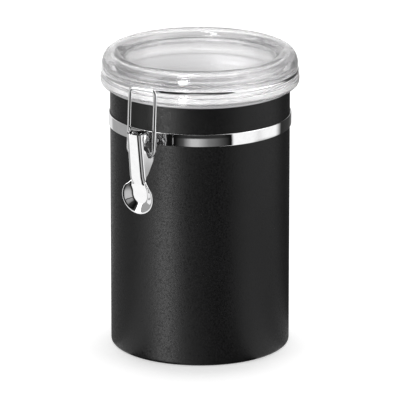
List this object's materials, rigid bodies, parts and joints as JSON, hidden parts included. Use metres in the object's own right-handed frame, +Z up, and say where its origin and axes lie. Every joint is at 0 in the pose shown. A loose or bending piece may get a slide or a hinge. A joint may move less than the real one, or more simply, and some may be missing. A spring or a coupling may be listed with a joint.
{
  "type": "clamp lid storage canister",
  "caption": "Tall round steel canister, black outside, with a clear ringed lid on a rear hinge and a polished over-centre wire latch.",
  "frame": {"origin": "centre of the base on the surface it stands on", "axes": "+Z up along the body's axis, -Y towards the latch, +Y towards the lid hinge"},
  "size_m": [0.127, 0.147, 0.1941],
  "materials": {
    "coat": "fine matte coat",
    "steel": "brushed",
    "polished": "polished",
    "acrylic": "clear gloss",
    "silicone": "translucent white, soft"
  },
  "bodies": {
    "canister": {"body_shell": "coat", "base_plate": "steel", "clamp_band": "polished", "ear_bracket_left": "polished", "ear_bracket_right": "polished", "lever_pivot_pin": "polished", "hinge_bracket": "polished", "hinge_rivet_left": "polished", "hinge_rivet_right": "polished"},
    "lid": {"lid": "acrylic", "lid_gasket": "silicone", "lid_wire_ring": "polished"},
    "lever": {"latch_lever": "polished"},
    "bail": {"bail_wire": "polished"}
  },
  "joints": [
    {"name": "lid_hinge", "type": "hinge", "parent": "canister", "child": "lid", "pos_m": [0, 0.067, 0.1811], "axis": [-1, 0, 0], "range_deg": [0, 105]},
    {"name": "lever_pivot", "type": "hinge", "parent": "canister", "child": "lever", "pos_m": [0, -0.0715, 0.152], "axis": [-1, 0, 0], "range_deg": [0, 95]},
    {"name": "bail_swing", "type": "hinge", "parent": "lever", "child": "bail", "pos_m": [0, -0.0686, 0.1395], "axis": [-1, 0, 0], "range_deg": [-105, 0]}
  ],
  "couplings": [
    {"joint": "bail_swing", "follows": "lever_pivot", "ratio": -1.1}
  ]
}
